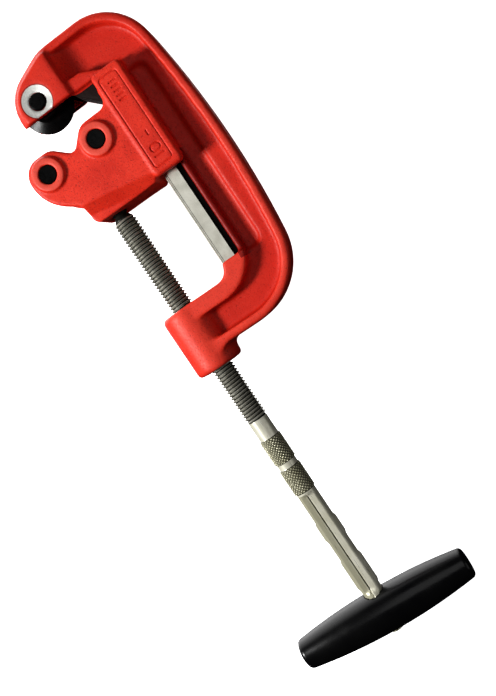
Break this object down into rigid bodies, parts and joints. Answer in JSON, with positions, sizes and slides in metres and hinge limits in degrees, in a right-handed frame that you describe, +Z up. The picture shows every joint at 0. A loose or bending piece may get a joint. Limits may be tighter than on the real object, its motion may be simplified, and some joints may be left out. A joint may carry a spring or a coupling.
{
  "type": "pipe cutter",
  "caption": "Hand pipe cutter with a cast C frame, cutter wheel in the hook, sliding roller housing, threaded feed screw and barrel-shaped T handle.",
  "frame": {"origin": "under the middle of the bounding box, at the lowest point of the tool lying on its side", "axes": "+X along the feed screw, from the cutting head to the T handle; +Y from the open mouth to the frame's spine; +Z up, along the cutter wheel's and the rollers' axes"},
  "size_m": [0.3628, 0.1251, 0.0404],
  "materials": {
    "red_paint": "semi-gloss enamel on a sand-cast surface",
    "ground_steel": "ground, fine grain",
    "thread_steel": "oiled dark steel",
    "plated_steel": "zinc plated, slightly yellow",
    "black_steel": "hardened, black oxide",
    "black_plastic": "moulded, semi-gloss"
  },
  "bodies": {
    "frame": {"frame": "red_paint", "guide_rail": "ground_steel", "rail_screws": "black_steel", "feed_nut": "thread_steel", "cutter_wheel_pin": "black_steel", "cutter_pin_ring": "ground_steel"},
    "cutter_wheel": {"cutter_wheel": "black_steel"},
    "roller_housing": {"roller_housing": "red_paint", "upper_roller_pin": "black_steel", "lower_roller_pin": "black_steel", "roller_pin_rings": "ground_steel", "thrust_ball": "ground_steel", "screw_retainers": "ground_steel"},
    "upper_roller": {"upper_roller": "black_steel"},
    "lower_roller": {"lower_roller": "black_steel"},
    "feed_screw": {"feed_screw": "plated_steel", "handle_grip": "black_plastic", "handle_insert": "thread_steel", "handle_cross_pin": "ground_steel", "handle_washer": "plated_steel"}
  },
  "joints": [
    {"name": "wheel_spin", "type": "hinge", "parent": "frame", "child": "cutter_wheel", "pos_m": [-0.1594, -0.00955, 0.0202], "axis": [0, 0, 1], "continuous": true},
    {"name": "housing_slide", "type": "slide", "parent": "frame", "child": "roller_housing", "axis": [1, 0, 0], "range_m": [-0.0075, 0.054]},
    {"name": "upper_roller_spin", "type": "hinge", "parent": "roller_housing", "child": "upper_roller", "pos_m": [-0.1248, 0.00625, 0.0202], "axis": [0, 0, 1], "continuous": true},
    {"name": "lower_roller_spin", "type": "hinge", "parent": "roller_housing", "child": "lower_roller", "pos_m": [-0.1248, -0.02535, 0.0202], "axis": [0, 0, 1], "continuous": true},
    {"name": "screw_turn", "type": "hinge", "parent": "roller_housing", "child": "feed_screw", "pos_m": [0.0406, -0.00955, 0.0202], "axis": [1, 0, 0], "range_deg": [-1383, 9950]}
  ],
  "couplings": [
    {"joint": "screw_turn", "follows": "housing_slide", "rad_per_m": 3215.6}
  ]
}
